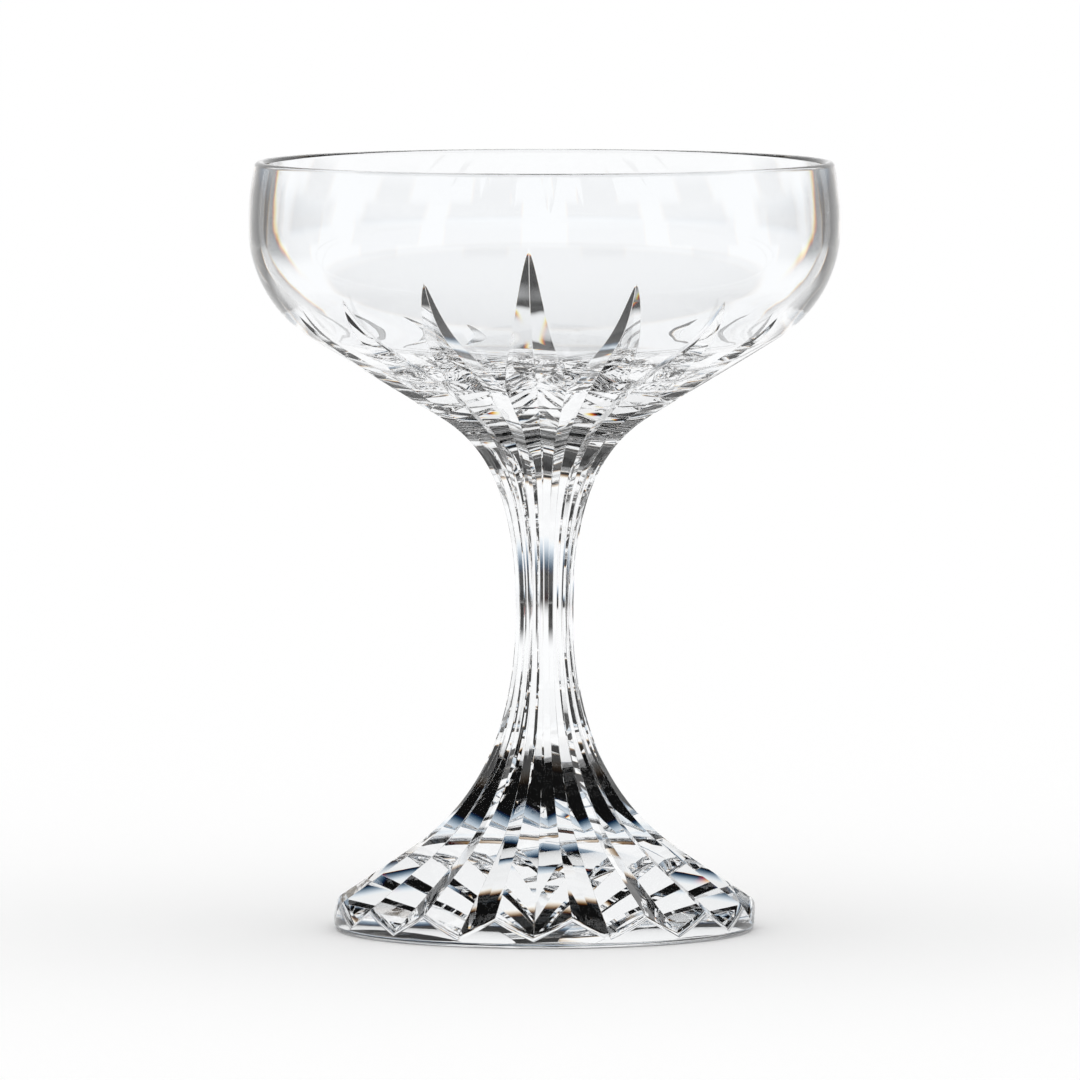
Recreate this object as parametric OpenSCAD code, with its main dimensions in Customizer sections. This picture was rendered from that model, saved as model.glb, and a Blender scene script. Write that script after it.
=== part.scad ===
// Cut crystal coupe glass: a wide shallow bowl, a slim waisted stem and a
// conical foot, fused end to end. Millimetres, +Z up, origin at the middle of
// the ring that the foot rests on. -Y is the side with the tallest petal.

/* [Bowl] */
// Height of the brim above the table
brim_z = 130; // [124:0.5:138]
// Radius of the bowl at its widest circle
belly_r = 50; // [47:0.25:54]
// Height of the brim above the widest circle
lip_h = 11; // [8:0.5:14]
// How far the brim draws in from the widest circle
lip_lean = 1.2; // [0.6:0.1:3]
// Radius of the curve that turns the underside up into the wall
shoulder_r = 22; // [18:0.5:25]
// Rise of the underside, in degrees from level
under_slope = 32; // [30:0.5:36]
// Thickness of the wall at the brim
wall = 1.7; // [1.6:0.1:2.6]
// Height of the cup's floor above the top of the stem's flare
floor_lift = 3.9; // [3.5:0.1:6]
// Reach of the nearly level floor, as a share of the cup's widest radius
floor_reach_share = 0.65; // [0.5:0.01:0.66]
// Height over which the inside turns upright below the widest circle
cup_turn_h = 14.9; // [10:0.1:15.2]

/* [Petals] */
// Number of flutes cut round the glass
flutes = 17; // [12:1:24]
// Turn of the front flute about the axis, in degrees to the left
flute_turn = 3; // [0:0.5:10]
// Lean of each flute face into the glass, in degrees
flute_lean = 17; // [13:0.5:18]
// Share of a petal's length over which its flute keeps its full depth
petal_root_share = 0.165; // [0.12:0.005:0.25]
// Roundness of a petal's tip, as the power that its depth falls by
petal_power = 0.75; // [0.6:0.05:0.9]
// How far the ridges between full flutes stay below the bowl's turned side
petal_sink = 0.06; // [0.04:0.01:0.12]

/* [Stem] */
// Radius of the stem at its waist, over the ridges
waist_r = 4.9; // [4:0.1:6]
// Height of the waist
waist_z = 54; // [51:0.5:58]
// Radius where the stem's flare runs out under the bowl
neck_r = 22; // [19:0.5:24]
// Upright pull of the flare above the waist
neck_pull = 28; // [23:1:31]
// Sloping pull of the flare where it meets the bowl
neck_reach = 7; // [5:0.5:11]
// Height at which the bowl is fused to the stem
bowl_seat_z = 77; // [73:0.5:80]

/* [Foot] */
// Radius of the foot
foot_r = 35.6; // [33:0.2:39]
// Height of the ridges at the edge of the foot
edge_h = 4.7; // [4.4:0.1:6]
// Rise of the foot, in degrees from level
foot_slope = 34; // [31:0.5:35]
// Radius where the stem's flare runs out on the foot
ankle_r = 24; // [21:0.5:27]
// Upright pull of the flare below the waist
ankle_pull = 26; // [21:1:29]
// Sloping pull of the flare where it meets the foot
ankle_reach = 10; // [7:0.5:13]
// Height at which the foot is fused to the stem
foot_seat_z = 23; // [21:0.5:27]
// Rounding of the foot's bottom edge
edge_round = 0.95; // [0.4:0.05:1.2]
// Width of the flat ring that the foot rests on
rest_w = 3.65; // [2.5:0.05:6]
// Depth of the shallow hollow ground into the underside, within that ring
hollow_h = 2; // [1:0.1:3]

/* [Hidden] */
crystal = [0.86, 0.92, 0.95, 0.55];
overrun = 1.5;
turn_fn = 144;
pitch = 360 / flutes;
half_pitch = pitch / 2;
front = -90 - flute_turn;

// Bowl sizes that follow from the driving ones
belly_z = brim_z - lip_h;
lip_r = (lip_h * lip_h + lip_lean * lip_lean) / (2 * lip_lean);
shoulder_turn = 90 - under_slope;
shoulder_low_r = belly_r - shoulder_r * (1 - cos(shoulder_turn));
shoulder_low_z = belly_z - shoulder_r * sin(shoulder_turn);
brim_round = wall / 2;
brim_round_z = brim_z - brim_round;

// The underside and the foot are straight cones beyond the flares
function under_z(r) = shoulder_low_z - (shoulder_low_r - r) * tan(under_slope);
function foot_top_z(r) = edge_h + (foot_r - r) * tan(foot_slope);

// Curves of the two flares, from the waist to the cones
neck_curve = [
    [waist_r, waist_z],
    [waist_r, waist_z + neck_pull],
    [neck_r - neck_reach * cos(under_slope), under_z(neck_r) - neck_reach * sin(under_slope)],
    [neck_r, under_z(neck_r)]
];
ankle_curve = [
    [waist_r, waist_z],
    [waist_r, waist_z - ankle_pull],
    [ankle_r - ankle_reach * cos(foot_slope), foot_top_z(ankle_r) + ankle_reach * sin(foot_slope)],
    [ankle_r, foot_top_z(ankle_r)]
];

// Petals: reach of the tips up the bowl's side, from 0 where the neck's flare
// runs out to 1 at the brim, against the angle from the front, from 0 to 1 at
// the back
petal_reach_shares = [
    [0, 0.768], [0.118, 0.658], [0.235, 0.587], [0.353, 0.508], [0.47, 0.42], [0.6, 0.325], [0.82, 0.16], [1, 0.11]
];
petal_steps = 28;
clear_steps = 3;
flare_steps = 9;
stem_steps = 13;
arc_steps = 10;
solve_steps = 30;

function bezier(c, t) =
    pow(1 - t, 3) * c[0] + 3 * pow(1 - t, 2) * t * c[1] + 3 * (1 - t) * t * t * c[2] + pow(t, 3) * c[3];
function bezier_run(c, t) =
    pow(1 - t, 2) * (c[1] - c[0]) + 2 * (1 - t) * t * (c[2] - c[1]) + t * t * (c[3] - c[2]);
// Slope of a curve there, in degrees from level
function bezier_slope(c, t) = let (d = bezier_run(c, t)) atan2(abs(d[1]), abs(d[0]));
// Share of the way along a curve at which it reaches height z
function bezier_at(c, z, low = 0, high = 1, left = solve_steps) =
    let (mid = (low + high) / 2, rising = c[3][1] > c[0][1], beyond = (bezier(c, mid)[1] > z) == rising)
    left == 0 ? mid
    : bezier_at(c, z, beyond ? low : mid, beyond ? mid : high, left - 1);

// A station is [ridge radius, height, slope] of the fluted surface
function curve_station(c, t) = [bezier(c, t)[0], bezier(c, t)[1], bezier_slope(c, t)];
function curve_stations(c, from, to, steps) =
    [for (i = [0 : steps]) curve_station(c, from + (to - from) * i / steps)];

// Valley radius of a flute whose faces lean in from the ridges either side
function valley_r(r, slope) = r * (cos(half_pitch) - sin(half_pitch) * tan(flute_lean) / sin(slope));
function fluted_ring(s) = [for (k = [0 : flutes - 1], side = [0, 1])
    let (a = front + (k + side / 2) * pitch, r = side == 0 ? valley_r(s[0], s[2]) : s[0])
    [r * cos(a), r * sin(a), s[1]]];

// The bowl's side above the neck's flare: cone, shoulder and lip, by length
cone_run = (shoulder_low_r - neck_r) / cos(under_slope);
shoulder_run = shoulder_r * shoulder_turn * PI / 180;
lip_turn = atan2(lip_h, lip_r - lip_lean);
lip_run = lip_r * lip_turn * PI / 180;
side_run = cone_run + shoulder_run + lip_run;
function side_station(s) =
    s < cone_run
    ? let (r = neck_r + s * cos(under_slope)) [r, under_z(r), under_slope]
    : s < cone_run + shoulder_run
    ? let (a = shoulder_turn - (s - cone_run) / shoulder_run * shoulder_turn)
        [belly_r - shoulder_r * (1 - cos(a)), belly_z - shoulder_r * sin(a), 90 - a]
    : let (a = (s - cone_run - shoulder_run) / lip_run * lip_turn)
        [belly_r - lip_r * (1 - cos(a)), belly_z + lip_r * sin(a), 90 - a];

// Depth of flute k below the bowl's side, square to it, s along the side.
// Past its tip the flute has left the glass.
function petal_reach(k) =
    side_run * lookup(abs((k + flutes / 2) % flutes - flutes / 2) * 2 / flutes, petal_reach_shares);
function full_depth(s) =
    let (r = neck_r + s * cos(under_slope)) petal_sink + (r - valley_r(r, under_slope)) * sin(under_slope);
function petal_depth(k, s) =
    let (reach = petal_reach(k), root = reach * petal_root_share)
    s < root ? full_depth(s)
    : s < reach ? full_depth(root) * pow(1 - (s - root) / (reach - root), petal_power)
    : (reach - s) * tan(flute_lean);
function petal_valley(k, s, side) = side[0] - petal_depth(k, s) / sin(side[2]);
function petal_valley_at(k, s, side) = let (a = front + k * pitch, r = petal_valley(k, s, side))
    [r * cos(a), r * sin(a), side[1]];
// Way out from the valley of flute k along its face to the left or the right
function face_way(k, slope, turn) =
    let (a = front + k * pitch, out = tan(flute_lean) / sin(slope))
    [out * cos(a) - turn * sin(a), out * sin(a) + turn * cos(a), 0];
// Point where the line from p along d crosses the line from q along e
function meeting(p, d, q, e) = p + d * cross([q[0] - p[0], q[1] - p[1]], [e[0], e[1]])
    / cross([d[0], d[1]], [e[0], e[1]]);
// Between two petals both flutes' faces rise until they meet, out in the air
function petal_ridge_at(k, s, side) = meeting(
    petal_valley_at(k, s, side), face_way(k, side[2], 1),
    petal_valley_at(k + 1, s, side), face_way(k + 1, side[2], -1)
);
function petal_ring(s) = let (side = side_station(s)) [for (k = [0 : flutes - 1], half = [0, 1])
    half == 0 ? petal_valley_at(k, s, side) : petal_ridge_at(k, s, side)];
clear_from = side_run * petal_reach_shares[0][1];
function raised(ring, h) = [for (p = ring) p + [0, 0, h]];

// A closed solid through rings of points, first ring lowest
module ring_stack(rings) {
    n = len(rings[0]);
    last = len(rings) - 1;
    sides = [for (i = [0 : last - 1], j = [0 : n - 1]) let (
            a = i * n + j, b = i * n + (j + 1) % n, c = b + n, d = a + n
        ) each [[a, c, b], [a, d, c]]];
    polyhedron(
        points = [for (ring = rings) each ring],
        faces = concat(
            [[for (j = [0 : n - 1]) j]],
            [[for (j = [0 : n - 1]) last * n + n - 1 - j]],
            sides
        ),
        convexity = 10
    );
}

// Turned outside of the bowl, before the flutes are cut. Below the petals it
// is left full, because the flutes take all of it there.
module bowl_blank() {
    full_r = neck_r + overrun / 2;
    full_z = under_z(full_r);
    low_z = bowl_seat_z - overrun;
    shoulder = [for (i = [0 : arc_steps]) let (a = shoulder_turn * (1 - i / arc_steps))
        [belly_r - shoulder_r * (1 - cos(a)), belly_z - shoulder_r * sin(a)]];
    lip_top_turn = asin((brim_round_z - belly_z) / lip_r);
    lip = [for (i = [1 : arc_steps]) let (a = lip_top_turn * i / arc_steps)
        [belly_r - lip_r * (1 - cos(a)), belly_z + lip_r * sin(a)]];
    brim_outer_r = belly_r - lip_r * (1 - cos(lip_top_turn));
    brim = [for (i = [1 : arc_steps - 1]) let (a = 180 * i / arc_steps)
        [brim_outer_r - brim_round * (1 - cos(a)), brim_round_z + brim_round * sin(a)]];
    rotate_extrude($fn = turn_fn)
        polygon(concat(
            [[0, low_z], [neck_r, low_z], [full_r, full_z]],
            shoulder, lip, brim,
            [[brim_outer_r - wall, brim_round_z], [0, brim_round_z]]
        ));
}

// The space that holds the drink
module cup() {
    belly_in_r = belly_r - wall;
    floor_z = under_z(neck_r) + floor_lift;
    floor_curve = [
        [0, floor_z], [belly_in_r * floor_reach_share, floor_z],
        [belly_in_r, belly_z - cup_turn_h], [belly_in_r, belly_z]
    ];
    floor_points = [for (i = [0 : 2 * arc_steps]) bezier(floor_curve, i / (2 * arc_steps))];
    lip_top_turn = asin((brim_round_z - belly_z) / lip_r);
    lip = [for (i = [1 : arc_steps]) let (a = lip_top_turn * i / arc_steps)
        [belly_in_r - lip_r * (1 - cos(a)), belly_z + lip_r * sin(a)]];
    brim_in_r = belly_in_r - lip_r * (1 - cos(lip_top_turn));
    rotate_extrude($fn = turn_fn)
        polygon(concat(floor_points, lip, [[brim_in_r, brim_z + overrun], [0, brim_z + overrun]]));
}

module bowl() {
    seat_t = bezier_at(neck_curve, bowl_seat_z);
    flare = curve_stations(neck_curve, seat_t, 1, flare_steps);
    petals = [for (i = [1 : petal_steps]) petal_ring(clear_from * i / petal_steps)];
    clear = [for (i = [1 : clear_steps])
        petal_ring(clear_from + (side_run - clear_from) * i / clear_steps)];
    color(crystal) difference() {
        intersection() {
            bowl_blank();
            ring_stack(concat(
                [for (s = flare) fluted_ring(s)],
                petals, clear, [raised(clear[clear_steps - 1], overrun)]
            ));
        }
        cup();
    }
}

module stem() {
    seat_t = bezier_at(neck_curve, bowl_seat_z);
    foot_t = bezier_at(ankle_curve, foot_seat_z);
    lower = curve_stations(ankle_curve, foot_t, 0, stem_steps);
    upper = curve_stations(neck_curve, 0, seat_t, stem_steps);
    color(crystal)
        ring_stack([for (s = concat(lower, [for (i = [1 : stem_steps]) upper[i]])) fluted_ring(s)]);
}

// Turned foot, before the flutes are cut: its round hollow, the flat ring round
// that and the rounded edge
module foot_blank() {
    hollow_r = foot_r - edge_round - rest_w;
    hollow = [for (i = [0 : arc_steps - 1]) let (share = i / arc_steps)
        [hollow_r * share, hollow_h * (1 - share * share)]];
    bottom_edge = [for (i = [0 : arc_steps]) let (a = 90 * i / arc_steps)
        [foot_r - edge_round * (1 - sin(a)), edge_round * (1 - cos(a))]];
    rotate_extrude($fn = turn_fn)
        polygon(concat(
            hollow, [[hollow_r, 0]], bottom_edge,
            [[foot_r, foot_seat_z + overrun], [0, foot_seat_z + overrun]]
        ));
}

module foot() {
    seat_t = bezier_at(ankle_curve, foot_seat_z);
    // The cone runs on below the foot, so that the flutes cut the edge through
    low_r = foot_r + (edge_h + overrun) / tan(foot_slope);
    cone = [[low_r, foot_top_z(low_r), foot_slope]];
    flare = curve_stations(ankle_curve, 1, seat_t, flare_steps);
    color(crystal) intersection() {
        foot_blank();
        ring_stack([for (s = concat(cone, flare)) fluted_ring(s)]);
    }
}

bowl();
stem();
foot();
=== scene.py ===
"""Looks of a cut crystal coupe glass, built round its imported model.

The glass is one bowl, one stem and one foot, fused end to end. Each piece is
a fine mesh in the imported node's own place, cut by the same flutes.
"""

from __future__ import annotations

import logging
import math
from dataclasses import dataclass
from enum import Enum
from typing import Callable

import bpy
import numpy as np
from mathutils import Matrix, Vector

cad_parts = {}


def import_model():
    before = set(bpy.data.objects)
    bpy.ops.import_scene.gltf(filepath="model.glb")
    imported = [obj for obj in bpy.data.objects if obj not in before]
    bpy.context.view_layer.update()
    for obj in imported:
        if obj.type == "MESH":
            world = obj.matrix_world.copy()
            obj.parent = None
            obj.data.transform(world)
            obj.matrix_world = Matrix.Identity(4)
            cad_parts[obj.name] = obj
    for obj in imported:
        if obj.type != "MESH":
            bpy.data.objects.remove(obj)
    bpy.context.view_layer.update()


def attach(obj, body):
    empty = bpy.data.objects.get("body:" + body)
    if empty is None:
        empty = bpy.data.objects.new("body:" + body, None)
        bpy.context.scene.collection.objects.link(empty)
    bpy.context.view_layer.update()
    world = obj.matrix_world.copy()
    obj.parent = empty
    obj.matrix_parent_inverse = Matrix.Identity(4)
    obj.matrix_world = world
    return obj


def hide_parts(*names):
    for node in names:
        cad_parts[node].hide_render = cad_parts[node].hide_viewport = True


LOG = logging.getLogger("coupe")
MM = 0.001
# Name of the attribute that tells which faces are fused joins
JOIN = "fused_join"
# Keeps a sum of directions that cancel out from dividing by zero
TINY = 1e-12
# Type name of the node that does one sum
MATH = "ShaderNodeMath"
Array = np.ndarray
Tree = bpy.types.NodeTree
Socket = bpy.types.NodeSocket


class Slot(Enum):
    """The record's material slots."""

    BOWL = "crystal_bowl"
    STEM = "crystal_stem"
    FOOT = "crystal_foot"


class Ray(Enum):
    """The light that finds the cards, named as Light Path's outputs are."""

    # What glass bends or mirrors
    GLASSY = "Is Glossy Ray"
    # What glass bends alone
    BENT = "Is Transmission Ray"


def linear(code: str) -> tuple[float, float, float, float]:
    """Turn an sRGB hex colour into a linear one.

    Args:
        code: Six hex digits.

    Returns:
        Red, green, blue and an alpha of 1.
    """
    parts = [int(code[i : i + 2], 16) / 255 for i in (0, 2, 4)]
    return (*[c / 12.92 if c <= 0.04045 else ((c + 0.055) / 1.055) ** 2.4 for c in parts], 1.0)


def add_node(tree: Tree, kind: str, *first: Socket | float, **settings: object) -> bpy.types.Node:
    """Add a node with its settings and links.

    Args:
        tree: The node tree.
        kind: The node's type name.
        *first: Values, or outputs to link, for its first sockets in order.
        **settings: Node properties by name. The key `inputs` holds a dict of
            socket name or index to a value or to an output to link.

    Returns:
        The new node.
    """
    node = tree.nodes.new(kind)
    wired = dict(enumerate(first)) | settings.pop("inputs", {})
    for name, value in settings.items():
        setattr(node, name, value)
    for key, value in wired.items():
        if isinstance(value, Socket):
            tree.links.new(value, node.inputs[key])
        else:
            node.inputs[key].default_value = value
    return node


def blank_material(name: str) -> tuple[bpy.types.Material, Tree]:
    """Start a material of nodes.

    Args:
        name: Its name.

    Returns:
        The material and its empty node tree.
    """
    material = bpy.data.materials.new(name)
    material.use_nodes = True
    material.node_tree.nodes.clear()
    return material, material.node_tree


@dataclass(frozen=True)
class Curve:
    """A cubic curve in the (radius, height) plane, in millimetres."""

    points: tuple[tuple[float, float], ...]
    # Places at which share_at measures the curve
    samples: int = 4001

    def at(self, t: Array) -> Array:
        """Find points of the curve.

        Args:
            t: Shares of the curve, from 0 to 1.

        Returns:
            The points, one row each.
        """
        p = np.array(self.points)
        t = np.asarray(t, float)[:, None]
        u = 1 - t
        return u**3 * p[0] + 3 * u * u * t * p[1] + 3 * u * t * t * p[2] + t**3 * p[3]

    def slope(self, t: Array) -> Array:
        """Find how steep the curve is.

        Args:
            t: Shares of the curve, from 0 to 1.

        Returns:
            The angles from level, in radians.
        """
        p = np.array(self.points)
        t = np.asarray(t, float)[:, None]
        u = 1 - t
        run = u * u * (p[1] - p[0]) + 2 * u * t * (p[2] - p[1]) + t * t * (p[3] - p[2])
        return np.arctan2(np.abs(run[:, 1]), np.abs(run[:, 0]))

    def share_at(self, z: float) -> float:
        """Find where the curve reaches a height.

        Args:
            z: The height.

        Returns:
            The share of the curve there.
        """
        shares = np.linspace(0, 1, self.samples)
        heights = self.at(shares)[:, 1]
        order = np.argsort(heights)
        return float(np.interp(z, heights[order], shares[order]))


@dataclass(frozen=True)
class CutForm:
    """Sizes of the whole glass in millimetres and degrees, and its flutes' shape."""

    brim_z: float = 130.0
    belly_r: float = 50.0
    lip_h: float = 11.0
    lip_lean: float = 1.2
    shoulder_r: float = 22.0
    under_slope: float = 32.0
    wall: float = 1.7
    floor_lift: float = 3.9
    floor_reach_share: float = 0.65
    cup_turn_h: float = 14.9
    flutes: int = 17
    flute_turn: float = 3.0
    flute_lean: float = 17.0
    petal_root_share: float = 0.165
    petal_power: float = 0.75
    petal_sink: float = 0.06
    waist_r: float = 4.9
    waist_z: float = 54.0
    neck_r: float = 22.0
    neck_pull: float = 28.0
    neck_reach: float = 7.0
    bowl_seat_z: float = 77.0
    foot_r: float = 35.6
    edge_h: float = 4.7
    foot_slope: float = 34.0
    ankle_r: float = 24.0
    ankle_pull: float = 26.0
    ankle_reach: float = 10.0
    foot_seat_z: float = 23.0
    edge_round: float = 0.95
    rest_w: float = 3.65
    hollow_h: float = 2.0
    # Width of the softened edge that polishing leaves on a ridge or a valley
    soft_edge: float = 0.06
    # Width of the rounded arris along the foot's scalloped edge
    arris: float = 0.4
    # Reach of each petal's tip up the side against its angle from the front
    reach_angles: tuple[float, ...] = (0, 0.118, 0.235, 0.353, 0.47, 0.6, 0.82, 1)
    reach_shares: tuple[float, ...] = (0.768, 0.658, 0.587, 0.508, 0.42, 0.325, 0.16, 0.11)
    # Columns of a flute's land between its edge and the next flute
    land_columns: int = 5
    # Columns across half a flute, as shares of its half width
    face_shares: tuple[float, ...] = (0.3, 0.65)
    # The least half width of a flute and of its land, in softened edges
    least_flute: float = 4.0
    least_land: float = 3.0
    # A cut this far outside the turned glass doesn't touch it
    clear_by: float = 0.0006
    # A point this near to a turned face lies on it
    near_by: float = 0.006

    @property
    def pitch(self) -> float:
        """Angle between two flutes, in radians."""
        return 2 * math.pi / self.flutes

    @property
    def belly_z(self) -> float:
        """Height of the widest circle."""
        return self.brim_z - self.lip_h

    @property
    def lip_r(self) -> float:
        """Radius of the lip's upright curve."""
        return (self.lip_h**2 + self.lip_lean**2) / (2 * self.lip_lean)

    @property
    def brim_round(self) -> float:
        """Radius of the rounded brim."""
        return self.wall / 2

    @property
    def brim_turn(self) -> float:
        """Angle of the lip's curve up to the start of the rounded brim."""
        return math.asin((self.lip_h - self.brim_round) / self.lip_r)

    @property
    def shoulder_turn(self) -> float:
        """Angle that the shoulder's curve turns through."""
        return math.radians(90 - self.under_slope)

    @property
    def shoulder_low(self) -> tuple[float, float]:
        """Radius and height where the underside meets the shoulder."""
        return (
            self.belly_r - self.shoulder_r * (1 - math.cos(self.shoulder_turn)),
            self.belly_z - self.shoulder_r * math.sin(self.shoulder_turn),
        )

    def under_z(self, r: float) -> float:
        """Height of the underside's cone at radius r."""
        low_r, low_z = self.shoulder_low
        return low_z - (low_r - r) * math.tan(math.radians(self.under_slope))

    def foot_top_z(self, r: float) -> float:
        """Height of the foot's cone at radius r."""
        return self.edge_h + (self.foot_r - r) * math.tan(math.radians(self.foot_slope))

    @property
    def cup_floor_z(self) -> float:
        """Height of the cup's floor at its middle."""
        return self.under_z(self.neck_r) + self.floor_lift

    @property
    def hollow_r(self) -> float:
        """Radius of the hollow under the foot."""
        return self.foot_r - self.edge_round - self.rest_w

    @property
    def neck_curve(self) -> Curve:
        """Flare from the waist up to the bowl's underside."""
        slope = math.radians(self.under_slope)
        end_z = self.under_z(self.neck_r)
        return Curve((
            (self.waist_r, self.waist_z),
            (self.waist_r, self.waist_z + self.neck_pull),
            (self.neck_r - self.neck_reach * math.cos(slope), end_z - self.neck_reach * math.sin(slope)),
            (self.neck_r, end_z),
        ))

    @property
    def ankle_curve(self) -> Curve:
        """Flare from the waist down to the foot."""
        slope = math.radians(self.foot_slope)
        end_z = self.foot_top_z(self.ankle_r)
        return Curve((
            (self.waist_r, self.waist_z),
            (self.waist_r, self.waist_z - self.ankle_pull),
            (self.ankle_r - self.ankle_reach * math.cos(slope), end_z + self.ankle_reach * math.sin(slope)),
            (self.ankle_r, end_z),
        ))

    @property
    def cone_run(self) -> float:
        """Length of the side from the neck's flare to the shoulder."""
        return (self.shoulder_low[0] - self.neck_r) / math.cos(math.radians(self.under_slope))

    @property
    def side_run(self) -> float:
        """Length of the side from the neck's flare to the brim's height."""
        lip_turn = math.atan2(self.lip_h, self.lip_r - self.lip_lean)
        return self.cone_run + self.shoulder_r * self.shoulder_turn + self.lip_r * lip_turn

    @property
    def plain_run(self) -> float:
        """Length of the side from the neck's flare to the rounded brim."""
        return self.cone_run + self.shoulder_r * self.shoulder_turn + self.lip_r * self.brim_turn

    def side(self, s: Array) -> tuple[Array, Array, Array]:
        """Follow the bowl's turned side up from the neck's flare.

        Args:
            s: Lengths along the side.

        Returns:
            Radius, height and angle from level at each length.
        """
        slope = math.radians(self.under_slope)
        cone_r = self.neck_r + s * math.cos(slope)
        cone_z = self.under_z(self.neck_r) + s * math.sin(slope)
        turn = self.shoulder_turn - (s - self.cone_run) / self.shoulder_r
        bend_r = self.belly_r - self.shoulder_r * (1 - np.cos(turn))
        bend_z = self.belly_z - self.shoulder_r * np.sin(turn)
        rise = (s - self.cone_run - self.shoulder_r * self.shoulder_turn) / self.lip_r
        lip_r = self.belly_r - self.lip_r * (1 - np.cos(rise))
        lip_z = self.belly_z + self.lip_r * np.sin(rise)
        on_cone, on_lip = s < self.cone_run, rise > 0
        r = np.where(on_cone, cone_r, np.where(on_lip, lip_r, bend_r))
        z = np.where(on_cone, cone_z, np.where(on_lip, lip_z, bend_z))
        lean = np.where(on_cone, slope, np.where(on_lip, math.pi / 2 - rise, math.pi / 2 - turn))
        return r, z, lean

    def lean(self, slope: Array) -> Array:
        """Tangent of a flute face's lean, seen in a level cut."""
        return math.tan(math.radians(self.flute_lean)) / np.sin(slope)

    def valley(self, r: Array, slope: Array) -> Array:
        """Valley radius of flutes whose ridges stand at radius r."""
        half = self.pitch / 2
        return r * (math.cos(half) - math.sin(half) * self.lean(slope))

    def reaches(self) -> Array:
        """Find how far up the side each petal reaches.

        Returns:
            The lengths, the front petal's first.
        """
        k = np.arange(self.flutes)
        from_front = np.abs((k + self.flutes / 2) % self.flutes - self.flutes / 2) * 2 / self.flutes
        return self.side_run * np.interp(from_front, self.reach_angles, self.reach_shares)

    def full_depth(self, s: Array) -> Array:
        """Find how deep full flutes are cut.

        Args:
            s: Lengths up the side.

        Returns:
            Depths below the side, square to it.
        """
        slope = math.radians(self.under_slope)
        r = self.neck_r + s * math.cos(slope)
        return self.petal_sink + (r - self.valley(r, slope)) * math.sin(slope)

    def petal_valley(self, s: Array) -> Array:
        """Find the valleys of all the petals.

        Args:
            s: Lengths up the side.

        Returns:
            Valley radii, lengths by flutes.
        """
        r, _, slope = self.side(s)
        reach = self.reaches()[None, :]
        root = reach * self.petal_root_share
        s = s[:, None]
        fading = np.clip(1 - (s - root) / (reach - root), 0, 1) ** self.petal_power
        inside = self.full_depth(np.minimum(s, root)) * fading
        outside = (reach - s) * math.tan(math.radians(self.flute_lean))
        return r[:, None] - np.where(s < reach, inside, outside) / np.sin(slope)[:, None]

    def columns(self, width: Array, r: Array) -> Array:
        """Angles of a flute's columns from its valley, for given half widths.

        Args:
            width: Half width of the flute in radians, rows by flutes.
            r: Radius of the ridges there, rows by 1.

        Returns:
            Angles, rows by flutes by columns, from just past one ridge to the
            next ridge.
        """
        half = self.pitch / 2
        soft = self.soft_edge / r
        width = np.clip(width, self.least_flute * soft, half - self.least_land * soft)
        soft = np.broadcast_to(soft, width.shape)
        land = half - width
        steps = [soft, *[width * share for share in self.face_shares], width - soft, width, width + soft]
        steps += [width + soft + (land - soft) * i / self.land_columns for i in range(1, self.land_columns)]
        right = np.stack([*steps, np.full_like(width, half)], -1)
        left = -right[..., -2::-1]
        return np.concatenate([left, np.zeros_like(width)[..., None], right], -1)

    def ring_points(self, angles: Array, radii: Array, heights: Array) -> Array:
        """Turn flute angles, radii and heights into points.

        Args:
            angles: Angles from each flute's valley, rings by flutes by columns.
            radii: Radii in the same shape.
            heights: Heights in the same shape, or one for each ring.

        Returns:
            The points, one ring a row.
        """
        k = np.arange(self.flutes)[None, :, None]
        around = math.radians(-90 - self.flute_turn) + k * self.pitch + angles
        points = np.stack([radii * np.cos(around), radii * np.sin(around), heights + 0 * radii], -1)
        return points.reshape(points.shape[0], -1, 3)

    def fluted(self, r: Array, z: Array, slope: Array) -> Array:
        """Cut even flutes round a turned form.

        Args:
            r: Radius of the ridges on each ring.
            z: Height of each ring.
            slope: The form's angle from level there, in radians.

        Returns:
            The points, one ring a row.
        """
        shape = (len(r), self.flutes)
        angles = self.columns(np.full(shape, self.pitch), r[:, None])
        lean = self.lean(slope)[:, None, None]
        valley = self.valley(r, slope)[:, None, None]
        radii = valley / (np.cos(angles) - np.sin(np.abs(angles)) * lean)
        return self.ring_points(angles, radii, z[:, None, None])

    def petalled(self, s: Array) -> tuple[Array, Array]:
        """Cut the petals into the bowl's side.

        Args:
            s: Lengths up the side, one for each ring.

        Returns:
            The rings, and the way that each point faces, with zeros for the points
            that the cuts shape.
        """
        r, z, slope = self.side(s)
        valley = self.petal_valley(s)
        lean_angle = np.arctan(self.lean(slope))[:, None]
        cut = np.clip(valley * np.cos(lean_angle) / r[:, None], -1, 1)
        width = np.arccos(cut) - lean_angle
        angles = self.columns(width, r[:, None])
        lean = self.lean(slope)[:, None, None]
        face = valley[..., None] / (np.cos(angles) - np.sin(np.abs(angles)) * lean)
        radii = np.minimum(face, r[:, None, None])
        rings = self.ring_points(angles, radii, z[:, None, None])
        rise = np.where(z > self.belly_z, 1, -1) * (math.pi / 2 - slope)
        way = facing(rings.reshape(-1, 3), np.repeat(rise, rings.shape[1]))
        uncut = (face > r[:, None, None] + self.clear_by).reshape(-1, 1)
        return rings, (way * uncut).reshape(rings.shape)

    def round_ring(self, like: Array, r: Array, z: Array) -> Array:
        """Turn round rings.

        Args:
            like: The ring whose columns they share.
            r: Their radii.
            z: Their heights.

        Returns:
            The points, one ring a row.
        """
        around = np.arctan2(like[:, 1], like[:, 0])[None, :]
        r, z = np.asarray(r, float)[:, None], np.asarray(z, float)[:, None]
        return np.stack([r * np.cos(around), r * np.sin(around), z + 0 * around], -1)

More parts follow.
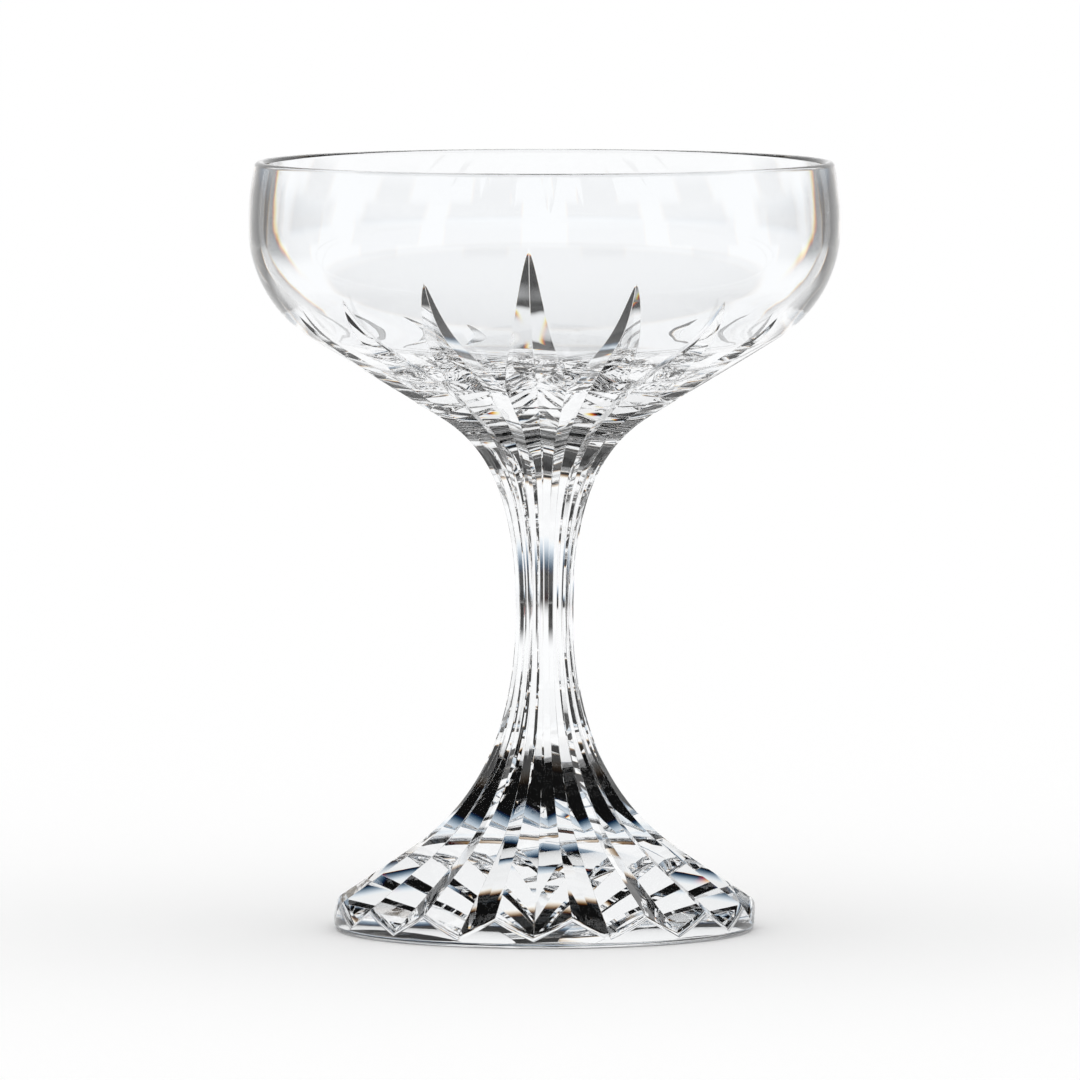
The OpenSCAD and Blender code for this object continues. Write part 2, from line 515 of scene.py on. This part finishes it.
    def turned_rings(self, like: Array, r: Array, z: Array, rise: Array) -> tuple[Array, Array]:
        """Turn round rings of a smooth surface.

        Args:
            like: The ring whose columns they share.
            r: Their radii.
            z: Their heights.
            rise: The angle above level that each one faces, in radians.

        Returns:
            The rings, and the way that each point faces.
        """
        rings = self.round_ring(like, r, z)
        way = facing(rings.reshape(-1, 3), np.repeat(rise, rings.shape[1]))
        return rings, way.reshape(rings.shape)


def even(start: float, end: float, step: float, ends: tuple[bool, bool] = (True, True)) -> Array:
    """Space values evenly.

    Args:
        start: The first value.
        end: The last value.
        step: About how far apart they stand.
        ends: Whether the first and the last are kept.

    Returns:
        The values.
    """
    count = max(2, round(abs(end - start) / step) + 1)
    values = np.linspace(start, end, count)
    return values[(0 if ends[0] else 1) : (None if ends[1] else -1)]


def skin(
    rings: Array, bottom: float, top: float, joins: tuple[bool, bool], whole: bool = True
) -> bpy.types.Mesh:
    """Close rings of points into a mesh, in metres.

    Args:
        rings: Rows of points in millimetres, in order along the surface, so
            that the outside is on the right of the way round.
        bottom: Height of the pole that closes the first ring.
        top: Height of the pole that closes the last ring.
        joins: Whether the first and the last cap are fused joins.
        whole: Whether the rings go all the way round, or are one flute's slice.

    Returns:
        The mesh, with the attribute JOIN on the faces of fused joins.
    """
    rows, columns = rings.shape[:2]
    points = np.concatenate([rings.reshape(-1, 3), [[0, 0, bottom], [0, 0, top]]]) * MM
    near = np.arange(columns if whole else columns - 1)
    far = (near + 1) % columns
    base = np.arange(rows - 1)[:, None] * columns
    quads = np.stack([base + near, base + far, base + far + columns, base + near + columns], -1)
    first, last = rows * columns, rows * columns + 1
    low = np.stack([far, near, np.full(len(near), first)], -1)
    high = np.stack([near, far, np.full(len(near), last)], -1)
    high[:, :2] += (rows - 1) * columns
    mesh = bpy.data.meshes.new("glass")
    mesh.from_pydata(points.tolist(), [], [*quads.reshape(-1, 4).tolist(), *low.tolist(), *high.tolist()])
    fused = np.zeros(len(mesh.polygons), bool)
    side_count = (rows - 1) * len(near)
    fused[side_count : side_count + len(near)] = joins[0]
    fused[side_count + len(near) :] = joins[1]
    mesh.attributes.new(JOIN, "BOOLEAN", "FACE").data.foreach_set("value", fused)
    # A join is flat, so that it doesn't bend the shading of the side round it
    mesh.polygons.foreach_set("use_smooth", ~fused)
    mesh.update()
    return mesh


def polish(mesh: bpy.types.Mesh, turned: Array) -> None:
    """Shade cut faces flat and turned ones round, as a polished glass is.

    A point on a cut takes the mean direction of its faces by their area, so
    that only the narrow softened edges between two cuts turn the light.

    Args:
        mesh: The mesh.
        turned: The direction that each point of a turned surface faces, one
            row a point, with zeros for the points that the cuts shape.
    """
    count = len(mesh.polygons)
    corner = np.empty(len(mesh.loops), np.int32)
    mesh.loops.foreach_get("vertex_index", corner)
    corners, smooth = np.empty(count, np.int32), np.empty(count, bool)
    normal, area = np.empty(count * 3), np.empty(count)
    mesh.polygons.foreach_get("loop_total", corners)
    mesh.polygons.foreach_get("use_smooth", smooth)
    mesh.polygons.foreach_get("normal", normal)
    mesh.polygons.foreach_get("area", area)
    normal = normal.reshape(-1, 3)
    face = np.repeat(np.arange(count), corners)
    pull = (normal * (area * smooth)[:, None])[face]
    summed = np.stack([np.bincount(corner, pull[:, axis], len(mesh.vertices)) for axis in range(3)], -1)
    summed = np.where(turned.any(1)[:, None], turned, summed)
    summed /= np.maximum(np.linalg.norm(summed, axis=1), TINY)[:, None]
    mesh.normals_split_custom_set(np.where(smooth[face][:, None], summed[corner], normal[face]).tolist())


def facing(points: Array, slope: Array) -> Array:
    """Find the way that turned points face.

    Args:
        points: The points, one row each.
        slope: The angle of each one's direction above level, in radians.

    Returns:
        The directions, one row each.
    """
    around = np.arctan2(points[:, 1], points[:, 0])
    return np.stack([np.cos(around) * np.cos(slope), np.sin(around) * np.cos(slope), np.sin(slope)], -1)


@dataclass(frozen=True)
class FluteWheel:
    """The cutter's index plate: it repeats one flute's slice round the axis."""

    # Slices meet point on point, so this only closes rounding
    weld_mm: float = 0.0001

    def tree(self) -> Tree:
        """Build the node tree, with its count, weld and materials as inputs.

        Returns:
            The node tree.
        """
        tree = bpy.data.node_groups.new("flute_wheel", "GeometryNodeTree")
        kinds = {
            "Slice": "Geometry", "Flutes": "Int", "Weld": "Float", "Crystal": "Material",
            "Join": "Material",
        }
        for name, kind in kinds.items():
            tree.interface.new_socket(name, in_out="INPUT", socket_type="NodeSocket" + kind)
        tree.interface.new_socket("Glass", in_out="OUTPUT", socket_type="NodeSocketGeometry")
        given = add_node(tree, "NodeGroupInput")
        seats = add_node(tree, "GeometryNodePoints", inputs={"Count": given.outputs["Flutes"]})
        place = add_node(tree, "GeometryNodeInputIndex")
        pitch = add_node(tree, MATH, 2 * math.pi, given.outputs["Flutes"], operation="DIVIDE")
        turn = add_node(tree, MATH, place.outputs["Index"], pitch.outputs[0], operation="MULTIPLY")
        about = add_node(tree, "ShaderNodeCombineXYZ", inputs={"Z": turn.outputs[0]})
        slices = add_node(
            tree, "GeometryNodeInstanceOnPoints",
            inputs={
                "Points": seats.outputs["Points"], "Instance": given.outputs["Slice"],
                "Rotation": about.outputs["Vector"],
            },
        )
        real = add_node(
            tree, "GeometryNodeRealizeInstances", inputs={"Geometry": slices.outputs["Instances"]}
        )
        welded = add_node(
            tree, "GeometryNodeMergeByDistance",
            inputs={"Geometry": real.outputs["Geometry"], "Distance": given.outputs["Weld"]},
        )
        clear = add_node(
            tree, "GeometryNodeSetMaterial",
            inputs={"Geometry": welded.outputs["Geometry"], "Material": given.outputs["Crystal"]},
        )
        fused = add_node(
            tree, "GeometryNodeInputNamedAttribute", data_type="BOOLEAN", inputs={"Name": JOIN}
        )
        joined = add_node(
            tree, "GeometryNodeSetMaterial",
            inputs={
                "Geometry": clear.outputs["Geometry"], "Selection": fused.outputs["Attribute"],
                "Material": given.outputs["Join"],
            },
        )
        add_node(tree, "NodeGroupOutput", inputs={"Glass": joined.outputs["Geometry"]})
        return tree

    def turn(
        self, piece: bpy.types.Mesh, flutes: int, crystal: bpy.types.Material, join: bpy.types.Material
    ) -> bpy.types.Mesh:
        """Repeat one flute's slice all the way round.

        Args:
            piece: The slice.
            flutes: How many slices go round.
            crystal: The glass.
            join: The finish of the fused joins.

        Returns:
            The whole mesh.
        """
        holder = bpy.data.objects.new("slice", piece)
        bpy.context.scene.collection.objects.link(holder)
        modifier = holder.modifiers.new("flutes", "NODES")
        modifier.node_group = self.tree()
        sockets = {item.name: item.identifier for item in modifier.node_group.interface.items_tree}
        given = {"Flutes": flutes, "Weld": self.weld_mm * MM, "Crystal": crystal, "Join": join}
        for name, value in given.items():
            modifier[sockets[name]] = value
        bpy.context.view_layer.update()
        depsgraph = bpy.context.evaluated_depsgraph_get()
        whole = bpy.data.meshes.new_from_object(holder.evaluated_get(depsgraph))
        holder.modifiers.clear()
        bpy.data.objects.remove(holder)
        bpy.data.meshes.remove(piece)
        return whole


@dataclass(frozen=True)
class LeadCrystal:
    """Lead crystal, wheel-cut and acid-polished: clear, heavy and very bright."""

    name: str = "lead_crystal"
    tint: str = "FDFEFF"
    ior: float = 1.53
    roughness: float = 0.0
    # Width of the faint waves that polishing leaves on a cut face
    wave_mm: float = 7.0
    wave_detail: float = 1.0
    wave_strength: float = 0.012

    def build(self) -> bpy.types.Material:
        """Build the clear glass with its faint waves.

        Returns:
            The material.
        """
        material, tree = blank_material(self.name)
        place = add_node(tree, "ShaderNodeTexCoord")
        waves = add_node(
            tree, "ShaderNodeTexNoise",
            inputs={
                "Vector": place.outputs["Object"], "Scale": 1 / (self.wave_mm * MM),
                "Detail": self.wave_detail,
            },
        )
        bump = add_node(
            tree, "ShaderNodeBump",
            inputs={"Strength": self.wave_strength, "Distance": MM, "Height": waves.outputs["Fac"]},
        )
        glass = add_node(
            tree, "ShaderNodeBsdfPrincipled",
            inputs={
                "Base Color": linear(self.tint), "Roughness": self.roughness, "IOR": self.ior,
                "Transmission Weight": 1.0, "Normal": bump.outputs["Normal"],
            },
        )
        add_node(tree, "ShaderNodeOutputMaterial", inputs={"Surface": glass.outputs["BSDF"]})
        return material


@dataclass(frozen=True)
class FusedJoin:
    """The plane where two gathers are fused hot: the glass runs on unseen."""

    name: str = "fused_join"

    def build(self) -> bpy.types.Material:
        """Build a finish that lets every ray through unbent.

        Returns:
            The material.
        """
        material, tree = blank_material(self.name)
        clear = add_node(tree, "ShaderNodeBsdfPrincipled", inputs={"Alpha": 0.0, "Roughness": 0.0})
        add_node(tree, "ShaderNodeOutputMaterial", inputs={"Surface": clear.outputs["BSDF"]})
        return material


@dataclass
class GlassPiece:
    """A piece of the glass: its mesh, its finish and its place in the frame."""

    form: CutForm
    crystal: bpy.types.Material
    join: bpy.types.Material
    # Spacing of the rings along the glass, and of those next to a fused join
    step: float = 0.55
    join_step: float = 0.05
    flare_samples: int = 400
    # Rings of a rounding's quarter turn
    round_rings: int = 7

    def dress(self, mesh: bpy.types.Mesh, name: str, node: str, slot: Slot) -> bpy.types.Object:
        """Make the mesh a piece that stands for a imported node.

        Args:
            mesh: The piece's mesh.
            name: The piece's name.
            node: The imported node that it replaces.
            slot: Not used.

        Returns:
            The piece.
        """
        mesh.name = name
        piece = bpy.data.objects.new(name, mesh)
        bpy.context.scene.collection.objects.link(piece)
        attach(piece, "root")
        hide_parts(node)
        LOG.info("%s: %d faces", name, len(mesh.polygons))
        return piece

    def slice_of(self, rings: Array) -> Array:
        """Return the columns of one flute, from one ridge to the next."""
        columns = rings.shape[1] // self.form.flutes
        return np.concatenate([rings[:, -1:], rings[:, :columns]], 1)

    def flare(self, curve: Curve, start: float, end: float) -> Array:
        """Cut flutes along a flare.

        The rings next to the two ends stand close to them, so that the glass
        shades on across a fused join.

        Args:
            curve: The flare's curve.
            start: The share of the curve at the first ring.
            end: The share at the last ring.

        Returns:
            The points, one ring a row.
        """
        fine = np.linspace(start, end, self.flare_samples)
        points = curve.at(fine)
        gone = np.concatenate([[0], np.cumsum(np.linalg.norm(np.diff(points, axis=0), axis=1))])
        run = gone[-1]
        middle = even(0, run, self.step, (False, False))
        stops = np.concatenate([[0, self.join_step], middle, [run - self.join_step, run]])
        shares = np.interp(stops, gone, fine)
        at = curve.at(shares)
        return self.form.fluted(at[:, 0], at[:, 1], curve.slope(shares))


@dataclass
class Bowl(GlassPiece):
    """The bowl, from its fused join up the petals, over the brim and down the cup."""

    # The side's rings stand closer than the flares', for the petals' edges
    side_share: float = 0.9
    brim_rings: int = 14
    lip_rings: int = 16
    cup_rings: int = 62

    def outside(self) -> tuple[Array, Array]:
        """Make the outside, from the fused join to the rounded brim.

        Returns:
            The rings, and the way that each point faces.
        """
        form = self.form
        neck = form.neck_curve
        flare = self.flare(neck, neck.share_at(form.bowl_seat_z), 1.0)
        side, way = form.petalled(even(0, form.plain_run, self.step * self.side_share, (False, True)))
        return np.concatenate([flare, side]), np.concatenate([0 * flare, way])

    def brim(self, like: Array) -> tuple[Array, Array]:
        """Make the rounded brim.

        Args:
            like: The ring whose columns it shares.

        Returns:
            The rings, and the way that each point faces.
        """
        form = self.form
        outer = form.belly_r - form.lip_r * (1 - math.cos(form.brim_turn))
        turn = np.linspace(0, math.pi, self.brim_rings + 2)[1:-1]
        r = outer - form.brim_round * (1 - np.cos(turn))
        return form.turned_rings(like, r, form.brim_z - form.brim_round * (1 - np.sin(turn)), turn)

    def inside(self, like: Array) -> tuple[Array, Array]:
        """Make the cup, from the brim down to its floor.

        Args:
            like: The ring whose columns it shares.

        Returns:
            The rings, and the way that each point faces.
        """
        form = self.form
        wide = form.belly_r - form.wall
        rise = np.linspace(form.brim_turn, 0, self.lip_rings)
        lip_r = wide - form.lip_r * (1 - np.cos(rise))
        lip_z = form.belly_z + form.lip_r * np.sin(rise)
        floor = Curve((
            (0, form.cup_floor_z), (wide * form.floor_reach_share, form.cup_floor_z),
            (wide, form.belly_z - form.cup_turn_h), (wide, form.belly_z),
        ))
        shares = np.linspace(1, 0, self.cup_rings + 2)[1:-1]
        points = floor.at(shares)
        r, z = np.concatenate([lip_r, points[:, 0]]), np.concatenate([lip_z, points[:, 1]])
        faces_in = np.concatenate([math.pi + rise, math.pi / 2 + floor.slope(shares)])
        return form.turned_rings(like, r, z, faces_in)

    def build(self) -> bpy.types.Object:
        """Build the bowl.

        Returns:
            The piece.
        """
        form = self.form
        outside, outside_way = self.outside()
        brim, brim_way = self.brim(outside[-1])
        inside, inside_way = self.inside(outside[-1])
        rings = np.concatenate([outside, brim, inside])
        mesh = skin(rings, form.bowl_seat_z, form.cup_floor_z, (True, False))
        way = np.concatenate([outside_way, brim_way, inside_way]).reshape(-1, 3)
        polish(mesh, np.concatenate([way, [[0, 0, 0], [0, 0, 1]]]))
        mesh.materials.append(self.crystal)
        mesh.materials.append(self.join)
        mesh.polygons.foreach_set("material_index", [item.value for item in mesh.attributes[JOIN].data])
        return self.dress(mesh, "crystal_bowl", "bowl", Slot.BOWL)


@dataclass
class Stem(GlassPiece):
    """The waisted stem between the two fused joins."""

    def build(self) -> bpy.types.Object:
        """Build the stem.

        Returns:
            The piece.
        """
        form = self.form
        low, high = form.ankle_curve, form.neck_curve
        lower = self.flare(low, low.share_at(form.foot_seat_z), 0.0)
        upper = self.flare(high, 0.0, high.share_at(form.bowl_seat_z))
        rings = np.concatenate([lower, upper[1:]])
        flute = skin(self.slice_of(rings), form.foot_seat_z, form.bowl_seat_z, (True, True), whole=False)
        mesh = FluteWheel().turn(flute, form.flutes, self.crystal, self.join)
        polish(mesh, np.zeros((len(mesh.vertices), 3)))
        return self.dress(mesh, "crystal_stem", "stem", Slot.STEM)


@dataclass
class Foot(GlassPiece):
    """The conical foot, its scalloped edge and its ground and slightly hollow underside."""

    # Spacing of the rings of the underside
    base_step: float = 1.0
    wall_rings: int = 3

    def cone(self) -> Array:
        """Make the straight cone, out to the scalloped edge.

        Returns:
            The points, one ring a row.
        """
        form = self.form
        slope = math.radians(form.foot_slope)
        shape = (1, form.flutes)
        ankle = np.array([form.ankle_r])
        angles = form.columns(np.full(shape, form.pitch), ankle[:, None])
        lean = float(form.lean(np.array(slope)))
        share = float(form.valley(1.0, slope)) / (np.cos(angles) - np.sin(np.abs(angles)) * lean)
        count = round((form.foot_r - form.ankle_r) / self.step)
        near_edge = 1 - form.arris / (form.foot_r - form.ankle_r)
        t = np.concatenate([np.linspace(0, near_edge, count)[1:], [1]])[:, None, None]
        # Along one column the cone is straight, out to where it meets the edge
        ridge_r = form.ankle_r + t * (form.foot_r / share - form.ankle_r)
        heights = form.edge_h + (form.foot_r - ridge_r) * math.tan(slope)
        return form.ring_points(angles, ridge_r * share, heights)

    def turned(self, points: Array) -> Array:
        """Find the way that the foot's turned points face.

        Args:
            points: The mesh's points in millimetres, one row each.

        Returns:
            The directions, one row each, with zeros for the points that are cut.
        """
        form = self.form
        r, z = np.hypot(points[:, 0], points[:, 1]), points[:, 2]
        near = form.near_by
        steep = 2 * form.hollow_h * r / form.hollow_r**2
        below = [
            (r < form.hollow_r - near) & (z < form.hollow_h + near),
            z < near,
            z < form.edge_round - near,
            r > form.foot_r - near,
        ]
        round_edge = np.arcsin(np.clip(1 - (form.foot_r - r) / form.edge_round, 0, 1))
        down = -math.pi / 2
        rise = np.select(below, [down - np.arctan(steep), down, down + round_edge, 0.0], np.nan)
        return facing(points, np.nan_to_num(rise)) * ~np.isnan(rise)[:, None]

    def build(self) -> bpy.types.Object:
        """Build the foot.

        Returns:
            The piece.
        """
        form = self.form
        edge, *cone = self.cone()[::-1]
        flare = self.flare(form.ankle_curve, 1.0, form.ankle_curve.share_at(form.foot_seat_z))
        rest_r, soft = form.foot_r - form.edge_round, form.soft_edge
        inner = even(self.base_step / 2, form.hollow_r - soft, self.base_step)
        base_r = np.concatenate([inner, even(form.hollow_r, rest_r, self.base_step, (True, False))])
        hollow = form.hollow_h * np.clip(1 - (base_r / form.hollow_r) ** 2, 0, None)
        turn = np.linspace(0, math.pi / 2, self.round_rings + 1)
        base = form.round_ring(edge, base_r, hollow)
        rim = form.round_ring(
            edge, form.foot_r - form.edge_round * (1 - np.sin(turn)), form.edge_round * (1 - np.cos(turn))
        )
        lift = np.linspace(0, 1, self.wall_rings + 1)[1:, None]
        wall = np.stack([edge] * self.wall_rings)
        wall[:, :, 2] = form.edge_round + (edge[None, :, 2] - form.arris - form.edge_round) * lift
        rings = np.concatenate([base, rim, wall, cone, flare])
        flute = skin(self.slice_of(rings), form.hollow_h, form.foot_seat_z, (False, True), whole=False)
        mesh = FluteWheel().turn(flute, form.flutes, self.crystal, self.join)
        points = np.array([vertex.co for vertex in mesh.vertices]) / MM
        polish(mesh, self.turned(points))
        return self.dress(mesh, "crystal_foot", "foot", Slot.FOOT)


@dataclass(frozen=True)
class Cards:
    """The black cards and sheets and the dark ceiling that draw a clear glass.

    Clear glass shows only what it bends into view. Black cards stand round a
    white room and black sheets lie on the floor in front of them, and only
    light that the glass bends finds them. The dark ceiling is for all light
    that comes by way of the glass. The ring of cards repeats four times, so
    that the glass has its dark lines from every side.
    Angles are degrees seen from the glass, lengths are millimetres.
    """

    sides: int = 4
    # A card starts this far to each side of the middle of a white gap
    start: float = 9.0
    end: float = 40.0
    # How far above level the cards reach
    top: float = 3.0
    top_soft: float = 3.0
    # The cards cover what lies further off than this on the floor
    floor_far: float = 800.0
    floor_soft: float = 260.0
    # The sheets lie in front of the cards, from near to far and side to side
    sheet_start: float = 14.0
    sheet_end: float = 31.0
    sheet_near: float = 380.0
    sheet_far: float = 950.0
    sheet_soft: float = 100.0
    # How far above level the dark ceiling starts
    ceiling: float = 30.0
    ceiling_soft: float = 2.0
    # Half the width of the turn to black at a card's upright edges
    soft: float = 0.5
    # Painted shade: out to this radius, the paper under the foot is painted dark for the light that comes
    # through the glass
    painted_shade_r: float = 35.0
    painted_shade_soft: float = 2.8
    # The light that the blackest card still gives
    black: float = 0.005
    # Glass bends blue more than red, by about this much at a card's edge
    spread: float = 0.3

    def around(self, tree: Tree, parts: bpy.types.Node) -> Socket:
        """Measure the angle from the middle of the nearest white gap.

        Args:
            tree: The node tree.
            parts: A node that gives the x and y of a direction or a place.

        Returns:
            The angle, in degrees.
        """
        turn = add_node(tree, MATH, parts.outputs[0], parts.outputs[1], operation="ARCTAN2")
        angle = add_node(tree, MATH, turn.outputs[0], operation="DEGREES")
        return add_node(tree, MATH, angle.outputs[0], 180 / self.sides, operation="PINGPONG").outputs[0]

    def past(self, tree: Tree, value: Socket, edge: float, soft: float) -> Socket:
        """Tell what lies past a soft edge.

        Args:
            tree: The node tree.
            value: What is compared.
            edge: The middle of the turn from 0 to 1.
            soft: Half the turn's width.

        Returns:
            0 below the edge and 1 past it.
        """
        turn = add_node(
            tree, "ShaderNodeMapRange", interpolation_type="SMOOTHSTEP",
            inputs={"Value": value, "From Min": edge - soft, "From Max": edge + soft},
        )
        return turn.outputs["Result"]

    def between(self, tree: Tree, value: Socket, low: float, high: float, soft: float) -> Socket:
        """Tell what lies between two soft edges.

        Args:
            tree: The node tree.
            value: What is compared.
            low: The lower edge.
            high: The upper edge.
            soft: Half the width of the turn at each edge.

        Returns:
            1 between the edges and 0 outside them.
        """
        above, beyond = self.past(tree, value, low, soft), self.past(tree, value, high, soft)
        return add_node(tree, MATH, above, beyond, operation="SUBTRACT").outputs[0]

    def spectrum(self, tree: Tree, dark: Callable[[float], Socket]) -> Socket:
        """Spread the edges' colours as thick glass spreads them.

        Args:
            tree: The node tree.
            dark: Gives the darkness with its edges moved out by so many degrees.

        Returns:
            The colour of the light that is left.
        """
        channels = {}
        for index, move in enumerate((self.spread, 0.0, -self.spread)):
            light = add_node(tree, MATH, 1.0, dark(move), operation="SUBTRACT")
            lit = add_node(tree, MATH, light.outputs[0], self.black, operation="MAXIMUM")
            channels[index] = lit.outputs[0]
        return add_node(tree, "ShaderNodeCombineColor", inputs=channels).outputs["Color"]

    def room(self, tree: Tree) -> Socket:
        """Colour the room by direction.

        The glass mirrors the ceiling, but the cards show only through it.

        Args:
            tree: The node tree.

        Returns:
            The colour, from 0 to 1.
        """
        place = add_node(tree, "ShaderNodeTexCoord")
        parts = add_node(tree, "ShaderNodeSeparateXYZ", place.outputs["Generated"])
        turn = self.around(tree, parts)
        sine = add_node(tree, MATH, parts.outputs[2], operation="ARCSINE")
        rise = add_node(tree, MATH, sine.outputs[0], operation="DEGREES").outputs[0]
        bent = add_node(tree, "ShaderNodeLightPath").outputs[Ray.BENT.value]

        def dark(move: float) -> Socket:
            """Tell how dark each direction is.

            Args:
                move: How many degrees the edges move out by.

            Returns:
                The darkness, from 0 to 1.
            """
            side = self.between(tree, turn, self.start + move, self.end - move, self.soft)
            over = self.past(tree, rise, self.top + move, self.top_soft)
            low = add_node(tree, MATH, 1.0, over, operation="SUBTRACT")
            tall = add_node(tree, MATH, side, low.outputs[0], operation="MULTIPLY")
            card = add_node(tree, MATH, tall.outputs[0], bent, operation="MULTIPLY")
            ceiling = self.past(tree, rise, self.ceiling + move, self.ceiling_soft)
            return add_node(tree, MATH, card.outputs[0], ceiling, operation="MAXIMUM").outputs[0]

        return self.spectrum(tree, dark)

    def paper(self, tree: Tree) -> Socket:
        """Colour the floor that the glass finds, with painted shade under the foot.

        Args:
            tree: The node tree.

        Returns:
            The colour, from 0 to 1.
        """
        place = add_node(tree, "ShaderNodeTexCoord")
        parts = add_node(tree, "ShaderNodeSeparateXYZ", place.outputs["Object"])
        turn = self.around(tree, parts)
        away = add_node(tree, "ShaderNodeVectorMath", place.outputs["Object"], operation="LENGTH")
        off = add_node(tree, MATH, away.outputs["Value"], MM, operation="DIVIDE").outputs[0]

        def dark(move: float) -> Socket:
            """Tell how dark each place is.

            Args:
                move: How many degrees the edges move out by.

            Returns:
                The darkness, from 0 to 1.
            """
            side = self.between(tree, turn, self.start + move, self.end - move, self.soft)
            far = self.past(tree, off, self.floor_far, self.floor_soft)
            card = add_node(tree, MATH, side, far, operation="MULTIPLY")
            wedge = self.between(tree, turn, self.sheet_start + move, self.sheet_end - move, self.soft)
            band = self.between(tree, off, self.sheet_near, self.sheet_far, self.sheet_soft)
            sheet = add_node(tree, MATH, wedge, band, operation="MULTIPLY")
            # Painted shade: a dark disc under the foot, where the glass shades the paper
            open_floor = self.past(tree, off, self.painted_shade_r + move, self.painted_shade_soft)
            under = add_node(tree, MATH, 1.0, open_floor, operation="SUBTRACT")
            shade = add_node(tree, MATH, card.outputs[0], under.outputs[0], operation="MAXIMUM")
            black = add_node(tree, MATH, sheet.outputs[0], shade.outputs[0], operation="MAXIMUM")
            return black.outputs[0]

        return self.spectrum(tree, dark)


@dataclass(frozen=True)
class Studio:
    """A plain pale floor, soft light and a camera at the photograph's angle."""

    # Millimetres. The long lens stands far off, a little above the brim.
    camera_away: float = 2370.0
    camera_z: float = 233.0
    aim_x: float = -0.76
    aim_z: float = 65.9
    # How wide the photograph is, and how much of it 1 mm on the glass's axis takes up
    photo_pixels: int = 1080
    pixels_per_mm: float = 5.93
    sensor_mm: float = 36.0
    clip_m: tuple[float, float] = (0.01, 100.0)
    floor_half: float = 8000.0
    # The floor lies this far below the foot, so that their faces don't fight
    floor_drop: float = 0.05
    # Light crosses the cut glass many times before it leaves
    bounces: int = 40
    transmission_bounces: int = 32
    glossy_bounces: int = 24
    transparent_bounces: int = 48
    # The floor and the room, as the camera sees them
    white: str = "FFFFFF"
    cards: Cards = Cards()

    def camera(self) -> None:
        """Add the camera and make it the scene's."""
        data = bpy.data.cameras.new("camera")
        data.sensor_width = self.sensor_mm
        data.lens = self.camera_away * self.pixels_per_mm * self.sensor_mm / self.photo_pixels
        data.clip_start, data.clip_end = self.clip_m
        seat = Vector((self.aim_x, -self.camera_away, self.camera_z)) * MM
        aim = Vector((self.aim_x, 0, self.aim_z)) * MM
        camera = bpy.data.objects.new("camera", data)
        camera.location = seat
        camera.rotation_euler = (aim - seat).to_track_quat("-Z", "Y").to_euler()
        bpy.context.scene.collection.objects.link(camera)
        bpy.context.scene.camera = camera

    def floor(self) -> None:
        """Add the pale floor; only the glass finds its black sheets and the painted shade under the foot.
        """
        half, z = self.floor_half * MM, -self.floor_drop * MM
        corners = [(-half, -half, z), (half, -half, z), (half, half, z), (-half, half, z)]
        mesh = bpy.data.meshes.new("floor")
        mesh.from_pydata(corners, [], [tuple(range(len(corners)))])
        floor = bpy.data.objects.new("floor", mesh)
        bpy.context.scene.collection.objects.link(floor)
        material, tree = blank_material("pale_floor")
        paint = add_node(tree, "ShaderNodeBsdfDiffuse", inputs={"Color": linear(self.white)})
        seen = add_node(tree, "ShaderNodeEmission", inputs={"Color": self.cards.paper(tree)})
        bent = add_node(tree, "ShaderNodeLightPath").outputs[Ray.BENT.value]
        both = add_node(tree, "ShaderNodeMixShader", bent, paint.outputs["BSDF"], seen.outputs["Emission"])
        add_node(tree, "ShaderNodeOutputMaterial", inputs={"Surface": both.outputs["Shader"]})
        mesh.materials.append(material)

    def world(self) -> None:
        """Light the scene from a white room, in which only the glass finds cards and ceiling."""
        world = bpy.data.worlds.new("studio")
        bpy.context.scene.world = world
        world.use_nodes = True
        # Nothing in the room is brighter than its white, so no ray is aimed at it
        world.cycles.sampling_method = "NONE"
        tree = world.node_tree
        tree.nodes.clear()
        room = add_node(tree, "ShaderNodeBackground", inputs={"Color": self.cards.room(tree)})
        plain = add_node(tree, "ShaderNodeBackground", inputs={"Color": linear(self.white)})
        glassy = add_node(tree, "ShaderNodeLightPath").outputs[Ray.GLASSY.value]
        both = add_node(
            tree, "ShaderNodeMixShader", glassy, plain.outputs["Background"], room.outputs["Background"]
        )
        add_node(tree, "ShaderNodeOutputWorld", inputs={"Surface": both.outputs["Shader"]})

    def build(self) -> None:
        """Build the whole studio."""
        self.camera()
        self.floor()
        self.world()
        scene = bpy.context.scene
        scene.view_settings.view_transform = "Standard"
        scene.cycles.max_bounces = self.bounces
        scene.cycles.transmission_bounces = self.transmission_bounces
        scene.cycles.glossy_bounces = self.glossy_bounces
        scene.cycles.transparent_max_bounces = self.transparent_bounces


def main() -> None:
    """Load the frame, and build the glass and the studio."""
    logging.basicConfig(level=logging.INFO)
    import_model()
    form = CutForm()
    crystal, join = LeadCrystal().build(), FusedJoin().build()
    for kind in (Bowl, Stem, Foot):
        kind(form, crystal, join).build()
    Studio().build()


if __name__ == "__main__":
    main()
